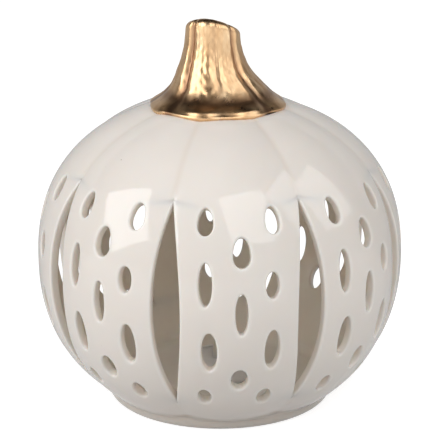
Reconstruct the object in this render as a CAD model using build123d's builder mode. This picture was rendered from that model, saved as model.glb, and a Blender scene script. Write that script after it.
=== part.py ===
from build123d import *
import math
import os

# Glazed ceramic pumpkin lantern, pierced with leaf slots and ovals, with a gilded stem
# and a battery light unit pushed into its floor from below. Millimetres, +Z up.
# Origin: centre of the foot ring, on the surface the lantern stands on. The front is -Y.

# ---------------------------------------------------------------- driving dimensions
LOBES = 8
LOBE_ANGLE = 360 / LOBES
LOBE_SHIFT = 18.0  # each lobe turns about its own axis, this far out from the centre
WALL = 4.2
FOOT_TOP = (55.5, 6.0)  # radius and height where the lobes meet the foot
CROWN = (33.0, 139.4)  # radius and height where the lobes meet the stem
# Radius and height of the points that a lobe's crest passes through, between those two.
CREST = ((75.3, 27.8), (82.3, 45.1), (85.0, 71.0), (80.6, 97.0), (71.0, 114.3), (50.4, 131.6))
CREST_ENDS = ((1.0, 0.75), (-1.0, 0.40))  # directions of the crest line at its two ends
BELLY_RADIUS = CREST[2][0]

FOOT_RADIUS = 51.4
FOOT_LAND = 5.6  # width of the ring that touches the table
FOOT_ROUND = 1.6
FOOT_NECK_RADIUS = 53.2  # where the foot meets the lobes, at their valleys
INNER_FOOT_RADIUS = 51.0  # where the inner wall meets the floor, at a lobe's middle
FLOOR_BOTTOM, FLOOR_TOP = 2.8, 6.0
PORT_RADIUS = 17.0  # hole in the floor for the light unit
CROWN_OPENING = 20.0  # radius of the hole under the hollow stem

SLOT_BOTTOM, SLOT_TOP = 20.2, 112.1
SLOT_HALF_WIDTH = 6.6

# Ovals of one lobe: height, angle from the lobe's middle, width and length.
OVALS = (
    (106.2, -10.8, 6.9, 12.2),
    (106.2, 11.2, 6.5, 12.1),
    (93.8, 0.6, 7.8, 13.3),
    (80.2, -10.4, 6.0, 19.3),
    (79.3, 9.7, 6.3, 11.8),
    (66.9, 0.4, 5.6, 18.8),
    (48.9, -9.3, 6.9, 19.4),
    (49.3, 10.0, 6.9, 19.4),
    (34.5, 0.2, 7.3, 11.8),
    (24.4, -11.4, 5.8, 10.2),
    (23.8, 9.4, 6.2, 10.4),
)
# The openings are cut by hand: by how many degrees each lobe's ovals, and the slot after
# that lobe, are off their true place. The first lobe is the front one.
OVAL_TURNS = (0.0, 0.0, 0.0, -1.5, -3.0, 0.0, 0.0, 0.0)
SLOT_TURNS = (0.0, 0.0, 0.0, -2.1, 2.0, 0.0, 0.0, 0.0)
EGG_ABOVE = 90.0  # ovals higher than this are egg-shaped, with the narrow end up
EGG_SHIFT = 0.14  # how far the widest place of an egg sits below its middle, of its length

GAP = 0.05  # between pieces that only touch

STEM_RIDGES = 8
STEM_GROOVE_ANGLE = 42.0  # of one groove, from +X
STEM_HOLLOW_RADIUS, STEM_HOLLOW_MIDDLE, STEM_HOLLOW_TOP = 8.5, 154.0, 166.0
# Stem sections: height, sideways lean, radius of the ridges and depth of the grooves.
STEM_SECTIONS = (
    (CROWN[1] + GAP, -1.0, 31.4, 0.3),
    (142.3, -0.8, 29.2, 0.7),
    (145.6, -0.8, 25.8, 1.2),
    (149.6, -1.3, 22.0, 1.6),
    (155.0, -2.6, 18.1, 1.9),
    (161.5, -3.1, 15.2, 1.8),
    (168.0, -3.2, 13.6, 1.6),
    (174.5, -3.2, 12.9, 1.4),
    (181.0, -3.2, 12.5, 1.3),
)
STEM_TOP_LEAN, STEM_TOP_HEIGHT = -3.2, 177.0
STEM_TOP_TILT = (-14.0, 11.0, 0)  # the cut end leans back and to the right
# One ridge from groove to groove: how far each point stands out of the ridge radius, as a
# share of the groove's depth.
RIDGE_SHAPE = (-1.0, -0.25, 0.0, 0.0, 0.0, -0.25)

# Light unit, all heights above the table.
CASE_RADIUS, CASE_WALL, CASE_TOP = 15.0, 1.1, 16.6
DISH_RADIUS, DISH_DEPTH, CASE_ROOF = 12.4, 0.8, 1.2
ROOF_UNDERSIDE = CASE_TOP - DISH_DEPTH - CASE_ROOF
CASE_EDGE_ROUND = 1.0
PLATE_BOTTOM, PLATE_TOP = 0.8, 2.2
FLANGE_RADIUS = 20.5
PULL_TAB_REACH, PULL_TAB_WIDTH = 27.0, 9.0
RING_RADIUS, RING_RIB_RADIUS, RING_TOP = 16.3, 16.95, 7.0
RING_RIBS = (3.7, 4.8, 5.9)

CELL_X, CELL_RADIUS, CELL_HEIGHT, CELL_BOTTOM = -1.4, 10.0, 3.2, 2.5
CRADLE_INNER, CRADLE_OUTER = 10.35, 11.35
CELL_STEP = 0.4  # the negative can stands this far above the rim
BOARD_RADIUS, BOARD_BOTTOM, BOARD_TOP = 13.4, 7.2, 8.2
BOARD_STOPS = ((-11.0, 4.0), (-11.0, -4.0), (0.0, -11.6))
CONTACT_THICKNESS = 0.25

DOOR_RADIUS, DOOR_TOP, DOOR_CLEARANCE = 9.9, 2.0, 0.25
TAB_END, TAB_HALF_WIDTH = 14.0, 2.8
HINGE_X, HINGE_Z = -12.1, 1.75
BARREL_RADIUS, PIN_RADIUS, PIN_LENGTH, PIN_CLEARANCE = 0.9, 0.5, 1.2, 0.05
HINGE_BLOCK_LENGTH, HINGE_BLOCK_TOP = 1.35, 2.9
HINGE_BLOCK_Y = TAB_HALF_WIDTH + DOOR_CLEARANCE + HINGE_BLOCK_LENGTH / 2

SCREW_RADIUS, HEAD_RADIUS, HEAD_DEPTH = 0.85, 1.6, 0.8
DOOR_SCREW_X, DOOR_SCREW_TIP = 11.6, 5.2
DOOR_PAD_TOP, DOOR_BOSS_BOTTOM = 2.9, 3.1
DOOR_SCREW_BORE, BOSS_RADIUS = 1.2, 2.1
CASE_SCREWS, CASE_SCREW_TIP = ((8.0, 9.6), (8.0, -9.6)), 8.6
CASE_BOSS_RADIUS = 1.7

SWITCH_Y, SWITCH_LENGTH, SWITCH_WIDTH = 11.8, 6.6, 2.6
SWITCH_BOTTOM, SWITCH_TOP = 2.25, 7.15
STEP_LENGTH, STEP_WIDTH, STEP_BOTTOM, STEP_TOP = 3.0, 1.8, 3.0, 4.6
KNOB_LENGTH, KNOB_WIDTH, KNOB_BOTTOM = 1.8, 1.2, 0.3
SWITCH_TRAVEL = 2.0

LENS_FLANGE_RADIUS, LENS_FLANGE_BOTTOM, LENS_FLANGE_TOP = 5.0, 13.7, 14.55
LENS_RADIUS, LENS_TIP, LENS_WALL, FLAME_START = 3.6, 28.0, 0.9, 17.4
LED_RADIUS, LED_BOTTOM, LED_TOP, LED_RIM = 1.5, 12.2, 17.0, 0.35
LEAD_RADIUS, LEAD_PITCH = 0.25, 2.54

os.makedirs("parts", exist_ok=True)


# ---------------------------------------------------------------- the lobes' outline
with BuildLine(Plane.XZ) as crest_curve:
    Spline(FOOT_TOP, *CREST, CROWN, tangents=CREST_ENDS)
CREST_LINE = crest_curve.edges()[0]


def crest_at(height):
    """Point of the crest line at a height, and its outward normal, both in XZ."""
    low, high = 0.0, 1.0
    for _ in range(40):
        middle = (low + high) / 2
        if (CREST_LINE @ middle).Z < height:
            low = middle
        else:
            high = middle
    along = CREST_LINE % low
    return CREST_LINE @ low, Vector(along.Z, 0, -along.X)


def wedge_outline():
    """Plan of one lobe's share of the body: a wedge from the centre to beyond the belly."""
    reach = 1.3 * BELLY_RADIUS
    side = reach * math.tan(math.radians(LOBE_ANGLE / 2))
    return Polyline((0, 0), (reach, -side), (reach, side), close=True)


def lobe_face(inset, foot_radius, foot_height):
    """Half section of a lobe, moved inwards by inset, from its own axis out."""
    points = []
    for radius, height in (FOOT_TOP, *CREST, CROWN):
        crest, outward = crest_at(height)
        moved = crest - outward * inset
        points.append((moved.X, moved.Z))
    with BuildLine(Plane.XZ) as border:
        Spline(*points, tangents=CREST_ENDS)
        Polyline(
            points[-1],
            (LOBE_SHIFT, points[-1][1]),
            (LOBE_SHIFT, foot_height),
            (foot_radius, foot_height),
        )
        if foot_height < points[0][1]:
            Line((foot_radius, foot_height), points[0])
    return make_face(border.edges(), mode=Mode.PRIVATE)


def piercing_plane(height, angle):
    """Plane tangent to a lobe at a height, turned by angle from the lobe's middle."""
    crest, outward = crest_at(height)
    turn = math.radians(angle)
    return Plane(
        origin=(crest.X * math.cos(turn), crest.X * math.sin(turn), crest.Z),
        x_dir=(-math.sin(turn), math.cos(turn), 0),
        z_dir=(outward.X * math.cos(turn), outward.X * math.sin(turn), outward.Z),
    )


def slot_plane(turn):
    """Plane through the body's axis, facing outwards at a turn from +X."""
    angle = math.radians(turn)
    return Plane(
        origin=(0, 0, 0),
        x_dir=(-math.sin(angle), math.cos(angle), 0),
        z_dir=(math.cos(angle), math.sin(angle), 0),
    )


# ---------------------------------------------------------------- ceramic body
# One lobe and its ovals lie along +X; the body is eight of them.
FRONT = -90
LOBE_AXIS = Axis((LOBE_SHIFT, 0, 0), (0, 0, 1))
OUTER_FACE = lobe_face(0, *FOOT_TOP)
INNER_FACE = lobe_face(WALL, INNER_FOOT_RADIUS, FLOOR_TOP)

with BuildPart() as lobe:
    add(OUTER_FACE)
    revolve(axis=LOBE_AXIS)
    with BuildSketch(Plane.XY.offset(FOOT_TOP[1])):
        with BuildLine():
            wedge_outline()
        make_face()
    extrude(amount=CROWN[1] - FOOT_TOP[1], mode=Mode.INTERSECT)
    add(INNER_FACE)
    revolve(axis=LOBE_AXIS, mode=Mode.SUBTRACT)

with BuildPart() as oval_bores:
    for height, angle, width, length in OVALS:
        lower = EGG_SHIFT * length if height > EGG_ABOVE else 0.0
        with BuildSketch(piercing_plane(height, angle)):
            with BuildLine():
                EllipticalCenterArc((0, -lower), width / 2, length / 2 + lower, 0, arc_size=180)
                EllipticalCenterArc((0, -lower), width / 2, length / 2 - lower, 180, arc_size=180)
            make_face()
    extrude(amount=2 * WALL, both=True)

pierced_lobes = {}
for turn in set(OVAL_TURNS):
    with BuildPart() as pierced_lobe:
        add(lobe.part)
        add(oval_bores.part, rotation=(0, 0, turn), mode=Mode.SUBTRACT)
    pierced_lobes[turn] = pierced_lobe.part

with BuildPart() as pumpkin_shell:
    for number, turn in enumerate(OVAL_TURNS):
        add(pierced_lobes[turn], rotation=(0, 0, FRONT + LOBE_ANGLE * number))
    with BuildSketch(
        *(slot_plane(FRONT + LOBE_ANGLE * (i + 0.5) + SLOT_TURNS[i]) for i in range(LOBES))
    ):
        with BuildLine():
            middle = (SLOT_BOTTOM + SLOT_TOP) / 2
            edge = ThreePointArc((0, SLOT_BOTTOM), (SLOT_HALF_WIDTH, middle), (0, SLOT_TOP))
            ThreePointArc(edge @ 1, (-SLOT_HALF_WIDTH, middle), edge @ 0)
        make_face()
    extrude(amount=1.3 * BELLY_RADIUS, mode=Mode.SUBTRACT)
    with BuildSketch(Plane.XZ):
        with BuildLine():
            rim = FOOT_RADIUS - FOOT_LAND
            Polyline(
                (PORT_RADIUS, FLOOR_TOP),
                (PORT_RADIUS, FLOOR_BOTTOM),
                (rim - 1.5, FLOOR_BOTTOM),
                (rim, 0),
                (FOOT_RADIUS - FOOT_ROUND, 0),
            )
            TangentArc(
                (FOOT_RADIUS - FOOT_ROUND, 0), (FOOT_RADIUS, FOOT_ROUND), tangent=(1, 0)
            )
            Spline(
                (FOOT_RADIUS, FOOT_ROUND),
                (FOOT_NECK_RADIUS, FLOOR_TOP),
                tangents=((0.2, 1), (0.5, 1)),
            )
            Line((FOOT_NECK_RADIUS, FLOOR_TOP), (PORT_RADIUS, FLOOR_TOP))
        make_face()
    revolve(axis=Axis.Z)
    with BuildSketch(Plane.XY.offset(CROWN[1])):
        Circle(CROWN_OPENING)
    extrude(amount=-3 * WALL, mode=Mode.SUBTRACT)
pumpkin_shell.part.label = "pumpkin_shell"
export_step(pumpkin_shell.part, "parts/pumpkin_shell.step")


# ---------------------------------------------------------------- gilded stem
def fluted_outline(lean, radius, groove):
    """Closed outline of a stem section: broad ridges with narrow grooves between them."""
    points = []
    steps = STEM_RIDGES * len(RIDGE_SHAPE)
    for step in range(steps):
        angle = math.radians(STEM_GROOVE_ANGLE + 360 * step / steps)
        reach = radius + groove * RIDGE_SHAPE[step % len(RIDGE_SHAPE)]
        points.append((lean + reach * math.cos(angle), reach * math.sin(angle)))
    return Spline(*points, periodic=True)


with BuildPart() as stem:
    for height, lean, radius, groove in STEM_SECTIONS:
        with BuildSketch(Plane.XY.offset(height)):
            with BuildLine():
                fluted_outline(lean, radius, groove)
            make_face()
    loft()
    with BuildSketch(Plane.XY.offset(STEM_SECTIONS[0][0])):
        Circle(CROWN_OPENING)
    with BuildSketch(Plane.XY.offset(STEM_HOLLOW_MIDDLE)):
        Circle(STEM_HOLLOW_RADIUS)
    loft(mode=Mode.SUBTRACT)
    with BuildSketch(Plane.XY.offset(STEM_HOLLOW_MIDDLE)):
        Circle(STEM_HOLLOW_RADIUS)
    extrude(amount=STEM_HOLLOW_TOP - STEM_HOLLOW_MIDDLE, mode=Mode.SUBTRACT)
    cut_end = Plane((STEM_TOP_LEAN, 0, STEM_TOP_HEIGHT)).rotated(STEM_TOP_TILT)
    split(bisect_by=cut_end, keep=Keep.BOTTOM)
stem.part.label = "stem"
export_step(stem.part, "parts/stem.step")


# ---------------------------------------------------------------- light unit: mouldings
with BuildPart() as unit_case:
    with BuildSketch(Plane.XY.offset(PLATE_TOP + GAP)):
        Circle(CASE_RADIUS)
    extrude(amount=CASE_TOP - PLATE_TOP - GAP)
    top_edges = unit_case.edges().group_by(Axis.Z)[-1]
    fillet(top_edges, CASE_EDGE_ROUND)
    with BuildSketch(Plane.XY.offset(CASE_TOP)):
        Circle(DISH_RADIUS)
    extrude(amount=-DISH_DEPTH, taper=-30, mode=Mode.SUBTRACT)
    with BuildSketch(Plane.XY.offset(PLATE_TOP)):
        Circle(CASE_RADIUS - CASE_WALL)
    extrude(amount=ROOF_UNDERSIDE - PLATE_TOP, mode=Mode.SUBTRACT)
    # Screw bosses and board stops hang from the roof.
    with BuildSketch(Plane.XY.offset(ROOF_UNDERSIDE)):
        with Locations(*CASE_SCREWS):
            Circle(CASE_BOSS_RADIUS)
    extrude(amount=PLATE_TOP + GAP - ROOF_UNDERSIDE)
    with BuildSketch(Plane.XY.offset(ROOF_UNDERSIDE)):
        with Locations((DOOR_SCREW_X, 0)):
            Circle(BOSS_RADIUS)
    extrude(amount=DOOR_BOSS_BOTTOM - ROOF_UNDERSIDE)
    with BuildSketch(Plane.XY.offset(ROOF_UNDERSIDE)):
        with Locations(*BOARD_STOPS):
            Rectangle(2.4, 1.2)
    extrude(amount=BOARD_TOP + GAP - ROOF_UNDERSIDE)
    with BuildSketch(Plane.XY.offset(CASE_RADIUS)) as case_limit:
        Circle(1.5 * CASE_RADIUS)
        Circle(CASE_RADIUS, mode=Mode.SUBTRACT)
    extrude(amount=2 * CASE_TOP, both=True, mode=Mode.SUBTRACT)
    with Locations(*[(x, y, PLATE_TOP) for x, y in CASE_SCREWS]):
        Cylinder(
            SCREW_RADIUS + GAP,
            CASE_SCREW_TIP + GAP - PLATE_TOP,
            align=(Align.CENTER, Align.CENTER, Align.MIN),
            mode=Mode.SUBTRACT,
        )
    with Locations((DOOR_SCREW_X, 0, DOOR_BOSS_BOTTOM)):
        Cylinder(
            DOOR_SCREW_BORE,
            DOOR_SCREW_TIP + 1 - DOOR_BOSS_BOTTOM,
            align=(Align.CENTER, Align.CENTER, Align.MIN),
            mode=Mode.SUBTRACT,
        )
    with Locations((0, 0, CASE_TOP)):
        Cylinder(LENS_RADIUS + GAP, 6 * CASE_ROOF, mode=Mode.SUBTRACT)
unit_case.part.label = "unit_case"
export_step(unit_case.part, "parts/unit_case.step")

with BuildPart() as unit_base:
    with BuildSketch(Plane.XY.offset(PLATE_BOTTOM)):
        Circle(FLANGE_RADIUS)
        with Locations((0, -PULL_TAB_REACH + PULL_TAB_WIDTH / 2)):
            Circle(PULL_TAB_WIDTH / 2)
        with Locations((0, -FLANGE_RADIUS)):
            Rectangle(PULL_TAB_WIDTH, 2 * (PULL_TAB_REACH - FLANGE_RADIUS) - PULL_TAB_WIDTH)
    extrude(amount=PLATE_TOP - PLATE_BOTTOM)
    # Cradle round the cell, with room for the positive contact and the switch.
    with BuildSketch(Plane.XY.offset(PLATE_TOP)):
        with Locations((CELL_X, 0)):
            Circle(CRADLE_OUTER)
            Circle(CRADLE_INNER, mode=Mode.SUBTRACT)
        with Locations((CASE_RADIUS, 0)):
            Rectangle(CASE_RADIUS, 2 * TAB_HALF_WIDTH + 1.4, mode=Mode.SUBTRACT)
        with Locations((0, CASE_RADIUS)):
            Rectangle(SWITCH_LENGTH + 0.4, 10.0, mode=Mode.SUBTRACT)
        with Locations((HINGE_X, 0)):
            Rectangle(3.2, 2 * (TAB_HALF_WIDTH + DOOR_CLEARANCE), mode=Mode.SUBTRACT)
    extrude(amount=BOARD_BOTTOM - GAP - PLATE_TOP)
    # Hinge blocks, either side of the door's barrel.
    with BuildSketch(Plane.XY.offset(PLATE_TOP)):
        with Locations((HINGE_X, HINGE_BLOCK_Y), (HINGE_X, -HINGE_BLOCK_Y)):
            Rectangle(2 * BARREL_RADIUS, HINGE_BLOCK_LENGTH)
    extrude(amount=HINGE_BLOCK_TOP - PLATE_TOP)
    # Battery opening with the door's tabs.
    with BuildSketch(Plane.XY.offset(PLATE_BOTTOM)):
        with Locations((CELL_X, 0)):
            Circle(CRADLE_INNER)
        tab_start = HINGE_X - BARREL_RADIUS - DOOR_CLEARANCE
        with Locations((tab_start, 0)):
            Rectangle(
                TAB_END + DOOR_CLEARANCE - tab_start,
                2 * (TAB_HALF_WIDTH + DOOR_CLEARANCE),
                align=(Align.MIN, Align.CENTER),
            )
    extrude(amount=PLATE_TOP - PLATE_BOTTOM, mode=Mode.SUBTRACT)
    with Locations((HINGE_X, 0, HINGE_Z)):
        Cylinder(
            PIN_RADIUS + PIN_CLEARANCE,
            2 * (TAB_HALF_WIDTH + DOOR_CLEARANCE + PIN_LENGTH),
            rotation=(90, 0, 0),
            mode=Mode.SUBTRACT,
        )
    with Locations(*[(x, y, PLATE_BOTTOM) for x, y in CASE_SCREWS]):
        CounterBoreHole(SCREW_RADIUS + GAP, HEAD_RADIUS + GAP, HEAD_DEPTH + 2 * GAP, 5.0)
    with Locations((0, SWITCH_Y, PLATE_BOTTOM)):
        Box(
            KNOB_LENGTH + SWITCH_TRAVEL + 2 * GAP,
            KNOB_WIDTH + 2 * GAP,
            4.0,
            mode=Mode.SUBTRACT,
        )
unit_base.part.label = "unit_base"
export_step(unit_base.part, "parts/unit_base.step")

with BuildPart() as battery_door:
    with BuildSketch(Plane.XY.offset(PLATE_BOTTOM)):
        with Locations((CELL_X, 0)):
            Circle(DOOR_RADIUS)
        with Locations((HINGE_X, 0)):
            Rectangle(
                TAB_END - HINGE_X,
                2 * TAB_HALF_WIDTH,
                align=(Align.MIN, Align.CENTER),
            )
    extrude(amount=DOOR_TOP - PLATE_BOTTOM)
    with Locations((HINGE_X, 0, HINGE_Z)):
        Cylinder(BARREL_RADIUS, 2 * TAB_HALF_WIDTH, rotation=(90, 0, 0))
        Cylinder(PIN_RADIUS, 2 * (TAB_HALF_WIDTH + PIN_LENGTH), rotation=(90, 0, 0))
    # Pad under the screw boss, and two ribs that carry the cell.
    with BuildSketch(Plane.XY.offset(DOOR_TOP)):
        with Locations((DOOR_SCREW_X, 0)):
            Circle(BOSS_RADIUS)
    extrude(amount=DOOR_PAD_TOP - DOOR_TOP)
    with BuildSketch(Plane.XY.offset(DOOR_TOP)):
        with Locations((CELL_X, -4.0), (CELL_X, 4.0)):
            Rectangle(12.0, 1.0)
    extrude(amount=CELL_BOTTOM - GAP - DOOR_TOP)
    # Grip grooves on the outside.
    with BuildSketch(Plane.XY.offset(PLATE_BOTTOM)):
        with Locations((5.2, 0)):
            with GridLocations(1.4, 0, 3, 1):
                SlotCenterToCenter(6.0, 0.6, rotation=90)
    extrude(amount=0.3, mode=Mode.SUBTRACT)
    with Locations((DOOR_SCREW_X, 0, PLATE_BOTTOM)):
        CounterBoreHole(SCREW_RADIUS + GAP, HEAD_RADIUS + GAP, HEAD_DEPTH + 2 * GAP, 5.0)
battery_door.part.label = "battery_door"
export_step(battery_door.part, "parts/battery_door.step")


# ---------------------------------------------------------------- light unit: screws
def screw_profile(bottom, tip):
    """Half section of a pan-headed screw with its head below and its tip above."""
    return Polyline(
        (0, bottom),
        (HEAD_RADIUS - 0.3, bottom),
        (HEAD_RADIUS, bottom + 0.3),
        (HEAD_RADIUS, bottom + HEAD_DEPTH),
        (SCREW_RADIUS, bottom + HEAD_DEPTH),
        (SCREW_RADIUS, tip - 0.6),
        (0.25, tip),
        (0, tip),
        close=True,
    )


with BuildPart() as screw_blank:
    with BuildSketch(Plane.XZ):
        with BuildLine():
            screw_profile(PLATE_BOTTOM + GAP, CASE_SCREW_TIP)
        make_face()
    revolve(axis=Axis.Z)
    with BuildSketch(Plane.XY.offset(PLATE_BOTTOM)):
        Rectangle(2.0, 0.4)
        Rectangle(0.4, 2.0)
    extrude(amount=0.45, mode=Mode.SUBTRACT)

with BuildPart() as case_screws:
    with Locations(*CASE_SCREWS):
        add(screw_blank.part)
case_screws.part.label = "case_screws"
export_step(case_screws.part, "parts/case_screws.step")

with BuildPart() as door_screw:
    with BuildSketch(Plane.XZ.shift_origin((DOOR_SCREW_X, 0, 0))):
        with BuildLine():
            screw_profile(PLATE_BOTTOM + GAP, DOOR_SCREW_TIP)
        make_face()
    revolve(axis=Axis((DOOR_SCREW_X, 0, 0), (0, 0, 1)))
    with BuildSketch(Plane.XY.offset(PLATE_BOTTOM)):
        with Locations((DOOR_SCREW_X, 0)):
            Rectangle(2.0, 0.4)
            Rectangle(0.4, 2.0)
    extrude(amount=0.45, mode=Mode.SUBTRACT)
door_screw.part.label = "door_screw"
export_step(door_screw.part, "parts/door_screw.step")


# ---------------------------------------------------------------- light unit: grip ring
with BuildPart() as grip_ring:
    with BuildSketch(Plane.XZ):
        with BuildLine():
            inner = CASE_RADIUS + GAP
            Polyline(
                (inner, RING_TOP),
                (inner, PLATE_TOP + GAP),
                (FLANGE_RADIUS - 0.3, PLATE_TOP + GAP),
                (FLANGE_RADIUS - 0.3, FLOOR_BOTTOM - GAP),
                (RING_RADIUS, FLOOR_BOTTOM - GAP),
                (RING_RADIUS, RING_TOP - 0.5),
                (RING_RADIUS - 0.5, RING_TOP),
                close=True,
            )
        make_face()
        with Locations(*[(RING_RADIUS, height) for height in RING_RIBS]):
            Circle(RING_RIB_RADIUS - RING_RADIUS)
    revolve(axis=Axis.Z)
grip_ring.part.label = "grip_ring"
export_step(grip_ring.part, "parts/grip_ring.step")


# ---------------------------------------------------------------- light unit: electrics
with BuildPart() as coin_cell:
    with BuildSketch(Plane.XY.offset(CELL_BOTTOM)):
        with Locations((CELL_X, 0)):
            Circle(CELL_RADIUS)
    extrude(amount=CELL_HEIGHT - CELL_STEP)
    with BuildSketch(Plane.XY.offset(CELL_BOTTOM + CELL_HEIGHT - CELL_STEP)):
        with Locations((CELL_X, 0)):
            Circle(CELL_RADIUS - 1.1)
    extrude(amount=CELL_STEP)
    chamfer(coin_cell.edges().group_by(Axis.Z)[0], 0.25)
coin_cell.part.label = "coin_cell"
export_step(coin_cell.part, "parts/coin_cell.step")

with BuildPart() as circuit_board:
    with BuildSketch(Plane.XY.offset(BOARD_BOTTOM)):
        Circle(BOARD_RADIUS)
        with Locations(*CASE_SCREWS):
            Circle(CASE_BOSS_RADIUS + 0.2, mode=Mode.SUBTRACT)
        with Locations((DOOR_SCREW_X, 0)):
            Circle(BOSS_RADIUS + 0.2, mode=Mode.SUBTRACT)
        with Locations((0, LEAD_PITCH / 2), (0, -LEAD_PITCH / 2)):
            Circle(LEAD_RADIUS + GAP, mode=Mode.SUBTRACT)
        for x, y in (*CASE_SCREWS, (DOOR_SCREW_X, 0)):
            length = math.hypot(x, y)
            with Locations((1.25 * x, 1.25 * y)):
                Rectangle(
                    0.5 * length,
                    2.4,
                    rotation=math.degrees(math.atan2(y, x)),
                    mode=Mode.SUBTRACT,
                )
    extrude(amount=BOARD_TOP - BOARD_BOTTOM)
circuit_board.part.label = "circuit_board"
export_step(circuit_board.part, "parts/circuit_board.step")

with BuildPart() as resistor:
    with Locations((5.2, -4.4, BOARD_TOP + GAP)):
        Box(2.0, 1.25, 0.5, align=(Align.CENTER, Align.CENTER, Align.MIN))
    fillet(resistor.edges().filter_by(Axis.Z), 0.15)
resistor.part.label = "resistor"
export_step(resistor.part, "parts/resistor.step")

with BuildPart() as positive_contact:
    # Sprung upright strip that bears on the cell's rim, with a foot under the board.
    with BuildSketch(Plane.XZ):
        with BuildLine() as contact_line:
            strip_x = CELL_X + CELL_RADIUS + GAP + CONTACT_THICKNESS / 2
            Polyline(
                (strip_x - 3.6, BOARD_BOTTOM - GAP - CONTACT_THICKNESS / 2),
                (strip_x, BOARD_BOTTOM - GAP - CONTACT_THICKNESS / 2),
                (strip_x, CELL_BOTTOM + 0.6),
            )
            offset(amount=CONTACT_THICKNESS / 2, side=Side.BOTH)
        make_face()
    extrude(amount=1.8, both=True)
positive_contact.part.label = "positive_contact"
export_step(positive_contact.part, "parts/positive_contact.step")

with BuildPart() as negative_contact:
    # Leaf spring, held under the board at one end and pressing on the cell's top.
    with BuildSketch(Plane.XZ):
        with BuildLine():
            cell_top = CELL_BOTTOM + CELL_HEIGHT + GAP + CONTACT_THICKNESS / 2
            under_board = BOARD_BOTTOM - GAP - CONTACT_THICKNESS / 2
            Polyline(
                (-10.4, under_board),
                (-7.4, under_board),
                (-3.6, cell_top),
                (-2.4, cell_top),
                (0.2, cell_top + 0.5),
            )
            offset(amount=CONTACT_THICKNESS / 2, side=Side.BOTH)
        make_face()
    extrude(amount=1.5, both=True)
negative_contact.part.label = "negative_contact"
export_step(negative_contact.part, "parts/negative_contact.step")

with BuildPart() as led:
    with BuildSketch(Plane.XZ):
        with BuildLine():
            dome = LED_TOP - LED_RADIUS
            Polyline(
                (0, LED_BOTTOM),
                (LED_RADIUS + LED_RIM, LED_BOTTOM),
                (LED_RADIUS + LED_RIM, LED_BOTTOM + 0.9),
                (LED_RADIUS, LED_BOTTOM + 0.9),
                (LED_RADIUS, dome),
            )
            TangentArc((LED_RADIUS, dome), (0, LED_TOP), tangent=(0, 1))
            Line((0, LED_TOP), (0, LED_BOTTOM))
        make_face()
    revolve(axis=Axis.Z)
    with BuildSketch(Plane.XY.offset(BOARD_BOTTOM + GAP)):
        with Locations((0, LEAD_PITCH / 2), (0, -LEAD_PITCH / 2)):
            Circle(LEAD_RADIUS)
    extrude(amount=LED_BOTTOM + 0.3 - BOARD_BOTTOM)
led.part.label = "led"
export_step(led.part, "parts/led.step")

with BuildPart() as flame_lens:
    with BuildSketch(Plane.XZ):
        with BuildLine():
            Polyline(
                (LENS_RADIUS - LENS_WALL, LENS_FLANGE_BOTTOM),
                (LENS_FLANGE_RADIUS, LENS_FLANGE_BOTTOM),
                (LENS_FLANGE_RADIUS, LENS_FLANGE_TOP),
                (LENS_RADIUS, LENS_FLANGE_TOP),
                (LENS_RADIUS, FLAME_START),
            )
            Spline(
                (LENS_RADIUS, FLAME_START),
                (2.5, 22.6),
                (0, LENS_TIP),
                tangents=((0, 1), (-0.5, 1)),
            )
            Line((0, LENS_TIP), (0, LENS_TIP - 2.6))
            Spline(
                (0, LENS_TIP - 2.6),
                (1.5, 22.0),
                (LENS_RADIUS - LENS_WALL, FLAME_START),
                tangents=((0.6, -1), (0, -1)),
            )
            Line(
                (LENS_RADIUS - LENS_WALL, FLAME_START),
                (LENS_RADIUS - LENS_WALL, LENS_FLANGE_BOTTOM),
            )
        make_face()
    revolve(axis=Axis.Z)
flame_lens.part.label = "flame_lens"
export_step(flame_lens.part, "parts/flame_lens.step")


# ---------------------------------------------------------------- light unit: switch
with BuildPart() as switch_case:
    with BuildSketch(Plane.XY.offset(SWITCH_BOTTOM)):
        with Locations((0, SWITCH_Y)):
            Rectangle(SWITCH_LENGTH, SWITCH_WIDTH)
    extrude(amount=SWITCH_TOP - SWITCH_BOTTOM)
    with Locations((0, SWITCH_Y, STEP_BOTTOM - GAP)):
        Box(
            STEP_LENGTH + SWITCH_TRAVEL + 2 * GAP,
            STEP_WIDTH + 2 * GAP,
            STEP_TOP - STEP_BOTTOM + 2 * GAP,
            align=(Align.CENTER, Align.CENTER, Align.MIN),
            mode=Mode.SUBTRACT,
        )
    with Locations((0, SWITCH_Y, SWITCH_BOTTOM)):
        Box(
            KNOB_LENGTH + SWITCH_TRAVEL + 2 * GAP,
            KNOB_WIDTH + 2 * GAP,
            STEP_BOTTOM - SWITCH_BOTTOM,
            align=(Align.CENTER, Align.CENTER, Align.MIN),
            mode=Mode.SUBTRACT,
        )
switch_case.part.label = "switch_case"
export_step(switch_case.part, "parts/switch_case.step")

with BuildPart() as switch_slider:
    # At rest the knob is at the "off" end of its slot, towards -X.
    with BuildSketch(Plane.XY.offset(STEP_BOTTOM)):
        with Locations((-SWITCH_TRAVEL / 2, SWITCH_Y)):
            Rectangle(STEP_LENGTH, STEP_WIDTH)
    extrude(amount=STEP_TOP - STEP_BOTTOM)
    with BuildSketch(Plane.XY.offset(KNOB_BOTTOM)):
        with Locations((-SWITCH_TRAVEL / 2, SWITCH_Y)):
            Rectangle(KNOB_LENGTH, KNOB_WIDTH)
    extrude(amount=STEP_BOTTOM - KNOB_BOTTOM)
    chamfer(switch_slider.edges().group_by(Axis.Z)[0], 0.2)
switch_slider.part.label = "switch_slider"
export_step(switch_slider.part, "parts/switch_slider.step")
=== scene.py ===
import math

import bpy
import numpy as np
from mathutils import Matrix, Quaternion, Vector


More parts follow.
